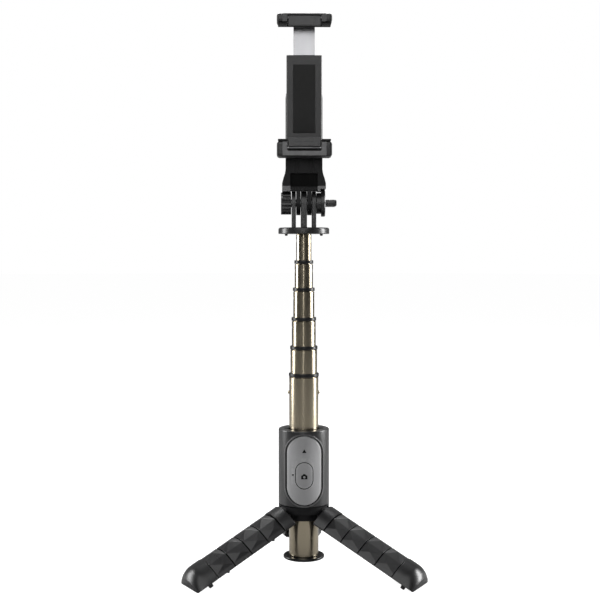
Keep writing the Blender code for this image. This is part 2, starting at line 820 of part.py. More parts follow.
def build_upper_jaw(clamp):
    """The sliding upper jaw with its forked slider, pad and flap."""
    empty = joint_empty("upper_jaw_slide", 0.0, -10.1, UPPER_JAW[0], clamp)
    low, high = UPPER_JAW
    jaw = box("upper_jaw", (-JAW_HALF, JAW_FRONT, low), (JAW_HALF, -8.0, high), bevel=1.6, bevel_segments=2)
    recess = box("upper_recess", (-FLAP_HALF - 0.4, -25.0, 330.0), (FLAP_HALF + 0.4, -14.6, high - 1.1))
    socket = box("slider_socket", (-6.9, -11.2, 330.0), (6.9, -9.0, 336.0))
    pin_hole = rod(
        "upper_pin_hole",
        FLAP_PIN + GAP,
        -12.7,
        12.7,
        "X",
        (0.0, FLAP_AXIS, UPPER_FLAP_AXIS),
        sides=12,
    )
    keep(cut(jaw, recess, socket, pin_hole), "soft_grey", empty)

    outline = mirrored(
        [
            (3.7, 306.6),
            (3.7, 269.0),
            (6.6, 269.0),
            (6.6, 290.0),
            (9.3, 290.0),
            (9.3, 292.0),
            (6.6, 292.0),
            (6.6, 335.7),
        ]
    )
    keep(prism("slider", outline, -10.9, -9.3, "XZ"), "steel", empty)
    keep(prism("upper_pad", pad_outline(), PHONE_GAP[1], low - GAP), "rubber", empty)
    keep(
        rod("upper_flap_pin", FLAP_PIN, -12.4, 12.4, "X", (0.0, FLAP_AXIS, UPPER_FLAP_AXIS), sides=10),
        "steel",
        empty,
    )
    hinge = joint_empty("upper_flap_fold", 0.0, FLAP_AXIS, UPPER_FLAP_AXIS, empty)
    keep(flap("upper_flap", UPPER_FLAP_AXIS, PHONE_GAP[1] - 0.7, UPPER_FLAP_AXIS), "soft_grey", hinge)


# Remote


def on_cylinder(name, outline, back, radius):
    """A block with an outline seen from the front, a flat back, and a front that follows a cylinder."""
    block = prism(name, outline, -20.0, back, "XZ")
    return common(block, rod(name + "_round", radius, 20.0, 95.0, sides=72))


def build_remote(hub):
    """The lift-out remote: case, back cover, board, cell, switch, light pipe and shutter button."""
    empty = joint_empty("remote_lift", 0.0, REMOTE_BACK, REMOTE_CENTRE, hub)
    case = on_cylinder("remote_case", stadium(REMOTE_SIZE, REMOTE_CENTRE, 10), REMOTE_BACK, REMOTE_RADIUS)
    cavity = settle(on_cylinder("remote_cavity", stadium((17.0, 38.7), REMOTE_CENTRE), -11.7, REMOTE_CAVITY))
    recess = prism("back_recess", stadium((17.8, 39.5), REMOTE_CENTRE), -11.9, -9.0, "XZ")
    opening = prism(
        "button_opening",
        stadium((BUTTON_SIZE[0] + 0.6, BUTTON_SIZE[1] + 0.6), BUTTON_CENTRE),
        -20.0,
        -13.0,
        "XZ",
    )
    light_hole = rod("light_hole", 0.75, -18.0, -12.0, "Y", (-6.9, 0.0, 54.5), sides=10)
    keep(cut(case, cavity, recess, opening, light_hole), "soft_grey", empty)

    keep(
        prism("remote_back", stadium((17.2, 38.9), REMOTE_CENTRE), -11.6, REMOTE_BACK, "XZ"),
        "satin_black",
        empty,
    )
    keep(box("circuit_board", (-6.3, -12.5, 43.0), (6.3, -11.9, 62.9)), "green", empty)
    keep(rod("coin_cell", 5.0, -13.2, -11.9, "Y", (0.0, 0.0, 69.5), sides=24), "steel", empty)
    keep(rod("dome_switch", 2.0, -13.1, -12.8, "Y", (0.0, 0.0, BUTTON_CENTRE), sides=12), "steel", empty)
    keep(rod("light_pipe", 0.45, -14.3, -12.8, "Y", (-6.9, 0.0, 54.5), sides=10), "clear", empty)

    press = joint_empty("shutter_press", 0.0, -13.6, BUTTON_CENTRE, empty)
    button = settle(
        on_cylinder("shutter_button", stadium(BUTTON_SIZE, BUTTON_CENTRE), -13.6, REMOTE_RADIUS + 0.1)
    )
    rim = settle(on_cylinder("button_rim", stadium((8.0, 18.2), BUTTON_CENTRE), -13.5, REMOTE_CAVITY - 0.3))
    keep(join(button, rim), "soft_grey", press)


build_main_tube()
top_section = build_sections()
hub_body = build_hub()
build_legs(hub_body)
head_body = build_head_base(top_section)
build_wing_screw(head_body)
neck_body = build_neck(head_body)
clamp_body = build_clamp(neck_body)
build_upper_jaw(clamp_body)
build_remote(hub_body)
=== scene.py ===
"""Selfie stick with tripod legs: the visible pieces, finishes, stage and camera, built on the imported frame.

Sizes are millimetres in the modelling functions, which turn them into metres. +Z runs up the pole and
-Y is the front, where the remote and the phone are."""

import json
import math

import bmesh
import bpy
from bpy.props import FloatProperty, FloatVectorProperty, IntProperty, PointerProperty
from mathutils import Matrix, Vector


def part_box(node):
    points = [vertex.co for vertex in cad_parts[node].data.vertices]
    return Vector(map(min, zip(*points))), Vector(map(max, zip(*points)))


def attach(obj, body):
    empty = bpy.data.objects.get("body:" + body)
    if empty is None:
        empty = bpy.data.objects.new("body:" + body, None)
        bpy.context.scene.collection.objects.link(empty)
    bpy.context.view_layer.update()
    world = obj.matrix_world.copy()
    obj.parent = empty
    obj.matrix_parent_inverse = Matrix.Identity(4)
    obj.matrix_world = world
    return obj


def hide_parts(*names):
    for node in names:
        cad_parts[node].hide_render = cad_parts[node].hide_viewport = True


bl_info = {
    "name": "Selfie stick",
    "version": (1, 0, 0),
    "blender": (4, 5, 0),
    "location": "View3D > Sidebar > Selfie stick",
    "description": "Builds a selfie stick with tripod legs, a phone clamp and a lift-out remote",
    "category": "Object",
}

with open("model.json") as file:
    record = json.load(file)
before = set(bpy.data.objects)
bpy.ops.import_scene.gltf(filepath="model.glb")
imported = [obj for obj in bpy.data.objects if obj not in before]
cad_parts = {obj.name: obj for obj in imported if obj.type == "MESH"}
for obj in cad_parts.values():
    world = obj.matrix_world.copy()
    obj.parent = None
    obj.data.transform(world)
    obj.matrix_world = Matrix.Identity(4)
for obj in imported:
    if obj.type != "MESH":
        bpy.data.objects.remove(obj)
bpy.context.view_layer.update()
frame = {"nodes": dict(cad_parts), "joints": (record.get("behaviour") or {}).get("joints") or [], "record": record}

MM = 0.001
WELD = 0.000001  # metres within which two points are one
LEG_AZIMUTHS = {"left": -150.0, "right": -30.0, "rear": 90.0}

# Millimetres, and degrees for angles
TUBE_RADII = {
    "main_tube": 9.25,
    "tube_2": 8.4,
    "tube_3": 7.5,
    "tube_4": 6.6,
    "tube_5": 5.7,
    "tube_6": 4.8,
}
TUBE_WALL = 0.5
COLLAR_BORES = {"main_collar": 8.7, "collar_2": 7.8, "collar_3": 6.9, "collar_4": 6.0, "collar_5": 5.1}
PIP_RADIUS, PIP_REACH, PIP_HEIGHT = 1.2, 9.05, 103.9
DIMPLE_DROP, DIMPLE_HALF_WIDTH, DIMPLE_HALF_HEIGHT = 4.2, 1.5, 1.1
HUB_RADIUS, HUB_BORE = 15.95, 10.0
REMOTE_HEIGHT, BUTTON_HEIGHT = 57.2, 54.25
HINGE_REACH = 13.0  # from the pole's axis to a leg's hinge
LEG_LENGTH = 76.9
GRIP_RADIUS, GRIP_INSIDE, GRIP_HALF_ANGLE = 15.9, 13.6, 59.2

# The corners on one side of a grip segment's two ends, as (angle round the handle, radius)
GEM_HEAD = ((22.0, 16.5), (51.0, GRIP_RADIUS), (GRIP_HALF_ANGLE, GRIP_RADIUS))
GEM_TAIL = ((9.0, 16.2), (23.0, 16.5), (51.0, GRIP_RADIUS), (GRIP_HALF_ANGLE, GRIP_RADIUS))

# Lights: name, place and size in metres, power in watts
LIGHTS = (
    ("left_window", (-0.9, 0.15, 0.3), (0.3, 0.9), 11.0),
    ("right_window", (0.9, 0.1, 0.3), (0.3, 0.9), 17.0),
    ("key_sheet", (-0.2, -1.0, 0.8), (1.3, 1.1), 8.0),
    ("top_sheet", (0.0, 0.55, 1.05), (0.5, 0.4), 12.0),
    ("front_strip", (-0.1, -1.3, 0.2), (0.05, 0.9), 1.0),
)


class StickSizes(bpy.types.PropertyGroup):
    """Sizes of the details that the frame leaves open."""

    turned_steps: IntProperty(name="Turned steps", description="Flats round a turned piece", default=120)
    seam_width: FloatProperty(
        name="Grip seam",
        description="Width of the seams across a leg's grip",
        default=0.7 * MM,
        unit="LENGTH",
    )
    seam_pitch: FloatProperty(
        name="Grip seam spacing",
        description="From one seam to the next",
        default=12.6 * MM,
        unit="LENGTH",
    )
    first_seam: FloatProperty(
        name="First grip seam",
        description="From the hinge to the first seam",
        default=11.6 * MM,
        unit="LENGTH",
    )
    dimple_depth: FloatProperty(
        name="Tube dimple",
        description="Depth of the stop dimples in the tubes",
        default=0.4 * MM,
        unit="LENGTH",
    )


class StickColours(bpy.types.PropertyGroup):
    """Base colours of the finishes."""

    satin_black: FloatVectorProperty(
        name="Satin black",
        description="Legs, hub and head",
        subtype="COLOR",
        size=3,
        default=(0.009, 0.009, 0.0095),
    )
    gloss_black: FloatVectorProperty(
        name="Gloss black",
        description="Collars and end disc",
        subtype="COLOR",
        size=3,
        default=(0.006, 0.006, 0.0065),
    )
    deep_black: FloatVectorProperty(
        name="Deep black",
        description="Neck and leg bracket",
        subtype="COLOR",
        size=3,
        default=(0.006, 0.006, 0.0065),
    )
    soft_grey: FloatVectorProperty(
        name="Soft grey",
        description="Remote and jaw fronts",
        subtype="COLOR",
        size=3,
        default=(0.26, 0.26, 0.264),
    )
    champagne: FloatVectorProperty(
        name="Champagne metal",
        description="Telescopic tubes",
        subtype="COLOR",
        size=3,
        default=(0.36, 0.315, 0.235),
    )
    steel: FloatVectorProperty(
        name="Steel",
        description="Pins, bolts and springs",
        subtype="COLOR",
        size=3,
        default=(0.34, 0.34, 0.35),
    )


# Finishes


def feed(tree, socket, value):
    """Links another node's output to an input, or sets the input."""
    if isinstance(value, bpy.types.NodeSocket):
        tree.links.new(value, socket)
    else:
        socket.default_value = value


def add_node(tree, kind, settings=None, **values):
    """A node with its settings, and values or links for its named inputs."""
    node = tree.nodes.new(kind)
    for key, value in (settings or {}).items():
        setattr(node, key, value)
    for key, value in values.items():
        feed(tree, node.inputs[key.replace("_", " ")], value)
    return node


def maths(tree, operation, *values):
    """The result of a Math node."""
    node = add_node(tree, "ShaderNodeMath", {"operation": operation})
    for socket, value in zip(node.inputs, values):
        feed(tree, socket, value)
    return node.outputs[0]


def shade(colour, factor, lift=0.0):
    """A colour made darker or lighter, with its alpha."""
    return (*(min(1.0, value * factor + lift) for value in colour), 1.0)


def new_group(name, inputs, outputs):
    """An empty node group with float and vector sockets."""
    group = bpy.data.node_groups.new(name, "ShaderNodeTree")
    for socket, kind, default in inputs:
        made = group.interface.new_socket(socket, in_out="INPUT", socket_type=kind)
        if default is not None:
            made.default_value = default
    for socket in outputs:
        group.interface.new_socket(socket, in_out="OUTPUT", socket_type="NodeSocketFloat")
    return group, group.nodes.new("NodeGroupInput"), group.nodes.new("NodeGroupOutput")


def grain_group():
    """Fine moulded grain: a height, and a slow variation of shade."""
    inputs = (("Vector", "NodeSocketVector", None), ("Fineness", "NodeSocketFloat", 2600.0))
    group, given, result = new_group("moulded_grain", inputs, ("Height", "Variation"))
    vector, fineness = given.outputs["Vector"], given.outputs["Fineness"]
    pebbles = add_node(group, "ShaderNodeTexNoise", Vector=vector, Scale=fineness, Detail=3.0, Roughness=0.6)
    cells = add_node(group, "ShaderNodeTexVoronoi", Vector=vector, Scale=fineness)
    slow = add_node(group, "ShaderNodeTexNoise", Vector=vector, Scale=55.0, Detail=4.0, Roughness=0.55)
    height = maths(group, "MULTIPLY_ADD", cells.outputs["Distance"], 0.4, pebbles.outputs["Fac"])
    group.links.new(height, result.inputs["Height"])
    group.links.new(slow.outputs["Fac"], result.inputs["Variation"])
    return group


def wear_and_highlight_group():
    """Wear and a painted highlight on raised edges, broken up so that it isn't even."""
    inputs = (("Vector", "NodeSocketVector", None), ("Edges", "NodeSocketFloat", 0.0))
    group, given, result = new_group("edge_wear_and_highlight", inputs, ("Mask",))
    patches = add_node(
        group, "ShaderNodeTexNoise", Vector=given.outputs["Vector"], Scale=420.0, Detail=5.0, Roughness=0.65
    )
    broken = add_node(group, "ShaderNodeMapRange", Value=patches.outputs["Fac"], From_Min=0.38, From_Max=0.72)
    mask = maths(group, "MULTIPLY", broken.outputs["Result"], given.outputs["Edges"])
    group.links.new(mask, result.inputs["Mask"])
    return group


def handling_group():
    """Faint smears from hands, as a change of gloss."""
    inputs = (("Vector", "NodeSocketVector", None), ("Size", "NodeSocketFloat", 38.0))
    group, given, result = new_group("handling_marks", inputs, ("Mask",))
    smears = add_node(
        group,
        "ShaderNodeTexNoise",
        Vector=given.outputs["Vector"],
        Scale=given.outputs["Size"],
        Detail=5.0,
        Roughness=0.6,
        Distortion=0.8,
    )
    mask = add_node(group, "ShaderNodeMapRange", Value=smears.outputs["Fac"], From_Min=0.42, From_Max=0.75)
    group.links.new(mask.outputs["Result"], result.inputs["Mask"])
    return group


def draw_lines_group():
    """Fine lines along the pole, as drawing and polishing leave them."""
    inputs = (("Vector", "NodeSocketVector", None),)
    group, given, result = new_group("draw_lines", inputs, ("Height", "Variation"))
    stretched = add_node(group, "ShaderNodeMapping", Vector=given.outputs["Vector"], Scale=(1.0, 1.0, 0.012))
    along = stretched.outputs["Vector"]
    lines = add_node(group, "ShaderNodeTexNoise", Vector=along, Scale=2400.0, Detail=2.0)
    slow = add_node(group, "ShaderNodeTexNoise", Vector=along, Scale=240.0, Detail=3.0)
    group.links.new(lines.outputs["Fac"], result.inputs["Height"])
    group.links.new(slow.outputs["Fac"], result.inputs["Variation"])
    return group


GROUPS = {}
FINISHES = {}


def use_group(tree, name, **values):
    """A node group placed in a material."""
    node = tree.nodes.new("ShaderNodeGroup")
    node.node_tree = GROUPS[name]
    for key, value in values.items():
        feed(tree, node.inputs[key], value)
    return node


def new_finish(name):
    """A material with its shader and Object coordinates."""
    material = bpy.data.materials.new(name)
    material.use_nodes = True
    tree = material.node_tree
    place = tree.nodes.new("ShaderNodeTexCoord").outputs["Object"]
    FINISHES[name] = material
    return tree, tree.nodes["Principled BSDF"], place


def mix_colours(tree, share, first, second):
    """Two colours, each with its alpha, mixed by a share that changes over the surface."""
    node = add_node(tree, "ShaderNodeMix", {"data_type": "RGBA"})
    for index, value in ((0, share), (6, first), (7, second)):  # factor, then colours A and B
        feed(tree, node.inputs[index], value)
    return node.outputs[2]


def plastic(name, colour, roughness, bump, fineness=2600.0, wear_highlight_amount=0.5, specular=0.5, coat=0.0):
    """A moulded plastic with grain, raised edges lightened by wear and a painted highlight, and handling marks."""
    tree, shader, place = new_finish(name)
    edges = add_node(tree, "ShaderNodeAttribute", {"attribute_name": "edge_wear_highlight"})
    grain = use_group(tree, "moulded_grain", Vector=place, Fineness=fineness)
    edge_wear_highlight = use_group(tree, "edge_wear_and_highlight", Vector=place, Edges=edges.outputs["Fac"])
    marks = use_group(tree, "handling_marks", Vector=place)
    tinted = mix_colours(tree, grain.outputs["Variation"], shade(colour, 0.82), shade(colour, 1.18))
    share = maths(tree, "MULTIPLY", edge_wear_highlight.outputs["Mask"], wear_highlight_amount)
    # Raised edges turn lighter: partly wear, partly a painted highlight
    blend = mix_colours(tree, share, tinted, shade(colour, 2.4, lift=0.01))
    tree.links.new(blend, shader.inputs["Base Color"])
    gloss = maths(tree, "MULTIPLY_ADD", grain.outputs["Variation"], 0.12, roughness - 0.06)
    smeared = maths(tree, "MULTIPLY_ADD", marks.outputs["Mask"], -0.05, gloss)
    tree.links.new(smeared, shader.inputs["Roughness"])
    raised = add_node(tree, "ShaderNodeBump", Height=grain.outputs["Height"], Strength=bump, Distance=0.00004)
    tree.links.new(raised.outputs["Normal"], shader.inputs["Normal"])
    shader.inputs["Specular IOR Level"].default_value = specular
    if coat:
        shader.inputs["Coat Weight"].default_value = coat
        shader.inputs["Coat Roughness"].default_value = 0.08


def drawn_metal(name, colour, roughness):
    """A polished drawn metal with fine lines along it."""
    tree, shader, place = new_finish(name)
    lines = use_group(tree, "draw_lines", Vector=place)
    marks = use_group(tree, "handling_marks", Vector=place, Size=60.0)
    tint = mix_colours(tree, lines.outputs["Variation"], shade(colour, 0.9), shade(colour, 1.08))
    tree.links.new(tint, shader.inputs["Base Color"])
    gloss = maths(tree, "MULTIPLY_ADD", marks.outputs["Mask"], 0.07, roughness)
    tree.links.new(gloss, shader.inputs["Roughness"])
    raised = add_node(tree, "ShaderNodeBump", Height=lines.outputs["Height"], Strength=0.25, Distance=0.00001)
    tree.links.new(raised.outputs["Normal"], shader.inputs["Normal"])
    shader.inputs["Metallic"].default_value = 1.0


class STICK_OT_finishes(bpy.types.Operator):
    """Make every finish used on the stick"""

    bl_idname = "stick.finishes"
    bl_label = "Finishes"

    def execute(self, context):
        colours = context.scene.stick_colours
        GROUPS["moulded_grain"] = grain_group()
        GROUPS["edge_wear_and_highlight"] = wear_and_highlight_group()
        GROUPS["handling_marks"] = handling_group()
        GROUPS["draw_lines"] = draw_lines_group()
        plastic("satin_black", tuple(colours.satin_black), 0.33, 0.3)
        plastic("gloss_black", tuple(colours.gloss_black), 0.34, 0.05, wear_highlight_amount=0.1, specular=0.3)
        plastic("deep_black", tuple(colours.deep_black), 0.38, 0.25, wear_highlight_amount=0.2, specular=0.14)
        plastic("soft_grey", tuple(colours.soft_grey), 0.46, 0.4, fineness=3200.0, wear_highlight_amount=0.3)
        # Dark grey for the upper jaw's front and the flaps; on the pocket's rim and the neck's ribs it is a
        # painted highlight
        plastic("dark_grey_and_painted_highlight", tuple(value * 0.16 for value in colours.soft_grey), 0.45, 0.4, wear_highlight_amount=0.4)
        # Mid grey for the lower jaw's front; on the neck's cheeks it is painted light
        plastic("mid_grey_and_painted_light", tuple(value * 0.45 for value in colours.soft_grey), 0.45, 0.4, wear_highlight_amount=0.4)
        plastic("rubber", (0.014, 0.014, 0.014), 0.72, 0.6, fineness=1500.0, wear_highlight_amount=0.1, specular=0.3)
        # Near-black for printed marks and the button's seam; on the legs' seam cores and on the strips and panel
        # at the neck it is painted shade
        plastic("mark_black_and_painted_shade", (0.002, 0.002, 0.002), 0.6, 0.1, wear_highlight_amount=0.0, specular=0.08)
        plastic("board_green", (0.015, 0.11, 0.045), 0.4, 0.2, fineness=900.0, wear_highlight_amount=0.2, coat=0.3)
        plastic("jaw_black", tuple(colours.satin_black), 0.4, 0.4, wear_highlight_amount=0.4)
        plastic("light_guide", (0.02, 0.02, 0.022), 0.15, 0.05, wear_highlight_amount=0.0)
        drawn_metal("champagne", tuple(colours.champagne), 0.21)
        drawn_metal("steel", tuple(colours.steel), 0.28)
        return {"FINISHED"}


# Modelling functions


def lathe(profile, steps, closed=True):
    """A bmesh turned about Z from (radius, height) points."""
    shape = bmesh.new()
    corners = [shape.verts.new((radius * MM, 0.0, height * MM)) for radius, height in profile]
    for first, second in zip(corners, corners[1:]):
        shape.edges.new((first, second))
    if closed:
        shape.edges.new((corners[-1], corners[0]))
    bmesh.ops.spin(
        shape,
        geom=shape.verts[:] + shape.edges[:],
        cent=(0.0, 0.0, 0.0),
        axis=(0.0, 0.0, 1.0),
        dvec=(0.0, 0.0, 0.0),
        angle=math.tau,
        steps=steps,
        use_merge=True,
    )
    bmesh.ops.remove_doubles(shape, verts=shape.verts, dist=WELD)
    bmesh.ops.dissolve_degenerate(shape, edges=shape.edges, dist=WELD / 2)
    bmesh.ops.recalc_face_normals(shape, faces=shape.faces)
    return shape


def block(low, high):
    """A bmesh box between two corners."""
    shape = bmesh.new()
    size = [(b - a) * MM for a, b in zip(low, high)]
    middle = [(a + b) / 2 * MM for a, b in zip(low, high)]
    bmesh.ops.create_cube(shape, size=1.0, matrix=Matrix.Translation(middle) @ Matrix.Diagonal((*size, 1.0)))
    return shape


def bar(radius, start, end, axis, centre, sides):
    """A round bmesh bar along an axis, through the centre point."""
    turns = {"Y": Matrix.Rotation(-math.pi / 2, 4, "X"), "Z": Matrix()}
    place = (
        Matrix.Translation([value * MM for value in centre])
        @ turns[axis]
        @ Matrix.Translation((0.0, 0.0, (start + end) / 2 * MM))
    )
    shape = bmesh.new()
    bmesh.ops.create_cone(
        shape,
        cap_ends=True,
        segments=sides,
        radius1=radius * MM,
        radius2=radius * MM,
        depth=(end - start) * MM,
        matrix=place,
    )
    return shape


def slab(outline, low, high):
    """A bmesh plate from a flat outline of (x, z) points, between two depths along Y."""
    shape = bmesh.new()
    corners = [shape.verts.new((x * MM, low * MM, z * MM)) for x, z in outline]
    face = shape.faces.new(corners)
    raised = bmesh.ops.extrude_face_region(shape, geom=[face])
    moved = [item for item in raised["geom"] if isinstance(item, bmesh.types.BMVert)]
    bmesh.ops.translate(shape, verts=moved, vec=(0.0, (high - low) * MM, 0.0))
    bmesh.ops.recalc_face_normals(shape, faces=shape.faces)
    return shape


def arc(across, along, radius, start, end, steps=12):
    """Points on an arc between two angles in degrees, ends included."""
    angles = [math.radians(start + (end - start) * index / steps) for index in range(steps + 1)]
    return [(across + radius * math.cos(angle), along + radius * math.sin(angle)) for angle in angles]


def stadium(width, height, centre, steps=24):
    """An upright outline with straight sides and round ends."""
    radius = width / 2
    reach = height / 2 - radius
    return arc(0.0, centre + reach, radius, 0, 180, steps) + arc(0.0, centre - reach, radius, 180, 360, steps)


def round_edges(shape, width, angle=32.0):
    """Rounds the edges sharper than an angle."""
    sharp = [
        edge
        for edge in shape.edges
        if len(edge.link_faces) == 2 and edge.calc_face_angle() > math.radians(angle)
    ]
    bmesh.ops.bevel(
        shape,
        geom=sharp,
        offset=width * MM,
        offset_type="OFFSET",
        segments=2,
        profile=0.5,
        affect="EDGES",
        clamp_overlap=True,
        material=-1,
    )
    return shape


def frame_copy(node):
    """A merged bmesh copy of a frame node."""
    shape = bmesh.new()
    shape.from_mesh(frame["nodes"][node].data)
    bmesh.ops.remove_doubles(shape, verts=shape.verts, dist=2 * WELD)
    bmesh.ops.dissolve_limit(shape, angle_limit=math.radians(0.5), verts=shape.verts, edges=shape.edges)
    return shape


def merged(*shapes):
    """One bmesh from several closed ones."""
    whole = bmesh.new()
    for shape in shapes:
        mesh = bpy.data.meshes.new("part")
        shape.to_mesh(mesh)
        shape.free()
        whole.from_mesh(mesh)
        bpy.data.meshes.remove(mesh)
    return whole


def carved(shape, *cutters):
    """The shape with each cutter taken away."""
    uncut = shape.calc_volume(signed=True)
    holders = []
    for index, item in enumerate((shape, *cutters)):
        mesh = bpy.data.meshes.new(f"carve_{index}")
        item.to_mesh(mesh)
        item.free()
        holder = bpy.data.objects.new(f"carve_{index}", mesh)
        bpy.context.scene.collection.objects.link(holder)
        holders.append(holder)
    for cutter in holders[1:]:
        step = holders[0].modifiers.new("cut", "BOOLEAN")
        step.operation = "DIFFERENCE"
        step.solver = "EXACT"
        step.object = cutter
    result = bmesh.new()
    result.from_object(holders[0], bpy.context.evaluated_depsgraph_get())
    for holder in holders:
        bpy.data.meshes.remove(holder.data)
    bmesh.ops.remove_doubles(result, verts=result.verts, dist=WELD)
    if not 0.0 < result.calc_volume(signed=True) < uncut:
        raise RuntimeError("a cut failed")
    return result


def mark_edges(shape):
    """Stores how raised each vertex is, for the wear and painted highlight on edges."""
    wear_highlight_from, wear_highlight_range = 0.2, 0.45  # radians between a vertex's faces
    layer = shape.verts.layers.float.new("edge_wear_highlight")
    for vert in shape.verts:
        folds = [edge for edge in vert.link_edges if len(edge.link_faces) == 2]
        sharpest = max((edge.calc_face_angle_signed(0.0) for edge in folds), default=0.0)
        vert[layer] = min(1.0, max(0.0, (sharpest - wear_highlight_from) / wear_highlight_range))


def publish(shape, name, body, finish, replaces=(), smooth=38.0):
    """Makes the bmesh a piece that rides on a body, with its finish."""
    mark_edges(shape)
    mesh = bpy.data.meshes.new(name)
    shape.to_mesh(mesh)
    shape.free()
    mesh.shade_smooth()
    mesh.set_sharp_from_angle(angle=math.radians(smooth))
    mesh.materials.append(FINISHES[finish])
    piece = bpy.data.objects.new(name, mesh)
    bpy.context.scene.collection.objects.link(piece)
    even = piece.modifiers.new("even_normals", "WEIGHTED_NORMAL")
    even.keep_sharp = True
    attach(piece, body)
    if replaces:
        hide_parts(*replaces)
    return piece


def span(node):
    """Lowest and highest corner of a frame node, in millimetres."""
    low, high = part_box(node)
    return low / MM, high / MM


def steps_round():
    """Flats round a turned piece."""
    return bpy.context.scene.stick_sizes.turned_steps


# Pole


def press_dimples(shape, height, depth):
    """Presses a dimple into each side of a tube."""
    for vert in shape.verts:
        across, up = abs(vert.co.x) / MM, vert.co.z / MM
        off = math.hypot(vert.co.y / MM / DIMPLE_HALF_WIDTH, (up - height) / DIMPLE_HALF_HEIGHT)
        if off < 1.0 and across > 1.0:
            vert.co.x -= math.copysign(depth * (1 - off * off) ** 2, vert.co.x)


def build_tube(node, body, pips=False):
    """A telescopic tube with a rolled lip and its stop dimples."""
    low, high = span(node)
    radius = TUBE_RADII[node]
    inner = radius - TUBE_WALL
    dimple = high.z - DIMPLE_DROP
    rings = [(radius, dimple + 0.4 * step) for step in range(3, -4, -1)]
    profile = [
        (inner, high.z - 0.15),
        (inner + 0.12, high.z),
        (radius - 0.15, high.z),
        (radius, high.z - 0.15),
        *rings,
        (radius, low.z + 0.15),
        (radius - 0.15, low.z),
        (inner, low.z),
    ]
    shape = lathe(profile, steps_round())
    press_dimples(shape, dimple, bpy.context.scene.stick_sizes.dimple_depth)
    parts = [shape]
    if pips:
        for side in (-1, 1):
            pip = bmesh.new()
            bmesh.ops.create_uvsphere(pip, u_segments=20, v_segments=12, radius=PIP_RADIUS * MM)
            bmesh.ops.translate(pip, verts=pip.verts, vec=(side * PIP_REACH * MM, 0.0, PIP_HEIGHT * MM))
            parts.append(pip)
    return publish(merged(*parts), node + "_polished", body, "champagne", (node,))


def build_collar(node, body):
    """A collar with rounded rims and a fine step."""
    low, high = span(node)
    outer = high.x
    inner = COLLAR_BORES[node]
    profile = [
        (inner, high.z - 0.2),
        (inner + 0.2, high.z),
        (outer - 0.35, high.z),
        (outer - 0.1, high.z - 0.1),
        (outer, high.z - 0.35),
        (outer, low.z + 0.35),
        (outer - 0.1, low.z + 0.1),
        (outer - 0.35, low.z),
        (inner, low.z),
    ]
    return publish(lathe(profile, steps_round()), node + "_rim", body, "gloss_black", (node,))


class STICK_OT_pole(bpy.types.Operator):
    """Build the six polished tubes"""

    bl_idname = "stick.pole"
    bl_label = "Tubes"

    def execute(self, context):
        build_tube("main_tube", "pole", pips=True)
        for index in range(2, 7):
            build_tube(f"tube_{index}", f"section_{index}")
        return {"FINISHED"}


class STICK_OT_collars(bpy.types.Operator):
    """Build the collars and the end disc"""

    bl_idname = "stick.collars"
    bl_label = "Collars and end disc"

    def execute(self, context):
        build_collar("main_collar", "pole")
        for index in range(2, 6):
            build_collar(f"collar_{index}", f"section_{index}")
        profile = [
            (0.0, 5.0),
            (8.0, 5.0),
            (8.4, 4.6),
            (8.4, 1.75),
            (12.3, 1.7),
            (12.7, 1.55),
            (12.9, 1.2),
            (12.9, 0.5),
            (12.7, 0.15),
            (12.35, 0.0),
            (10.2, 0.0),
            (9.9, 0.35),
            (9.2, 0.35),
            (8.9, 0.0),
            (0.0, 0.0),
        ]
        disc = lathe(profile, steps_round(), closed=False)
        publish(disc, "end_disc_cap", "pole", "gloss_black", ("end_disc",))
        return {"FINISHED"}


# Hub


def on_cylinder(outline, insets, radius):
    """Rings of a stadium outline, each inset and set back from a cylinder, as rows of points."""
    width, height, centre = outline
    rows = []
    for inset, back in insets:
        points = stadium(width - 2 * inset, height - 2 * inset, centre)
        rows.append([(x, -(math.sqrt(radius * radius - x * x) - back), z) for x, z in points])
    return rows


def joined_rows(rows, ring=False):
    """A bmesh with faces from each row of points to the next, and each row's edges."""
    shape = bmesh.new()
    loops = []
    for row in rows:
        verts = [shape.verts.new((x * MM, y * MM, z * MM)) for x, y, z in row]
        loops.append([shape.edges.new((a, b)) for a, b in zip(verts, verts[1:] + verts[:1])])
    for first, second in zip(loops, loops[1:] + loops[:1] if ring else loops[1:]):
        bmesh.ops.bridge_loops(shape, edges=first + second)
    return shape, loops


def skin(rows, back):
    """A closed bmesh over rows of points, with its first row carried back to a flat."""
    shape, loops = joined_rows([[(x, back, z) for x, _, z in rows[0]], *rows])
    bmesh.ops.holes_fill(shape, edges=loops[0] + loops[-1], sides=0)
    bmesh.ops.recalc_face_normals(shape, faces=shape.faces)
    return shape


def lip(width, height, centre, radius, thick, proud):
    """A rounded lip along a stadium outline on a cylinder."""
    root = -0.9
    profile = [
        (-thick, root),
        (-thick, proud * 0.4),
        (-thick * 0.4, proud),
        (thick * 0.4, proud),
        (thick, proud * 0.2),
        (thick, root),
    ]
    rows = []
    for out, rise in profile:
        points = stadium(width + 2 * out, height + 2 * out, centre)
        rows.append([(x, -(math.sqrt(radius * radius - x * x) + rise), z) for x, z in points])
    shape, _ = joined_rows(rows, ring=True)
    bmesh.ops.recalc_face_normals(shape, faces=shape.faces)
    return shape


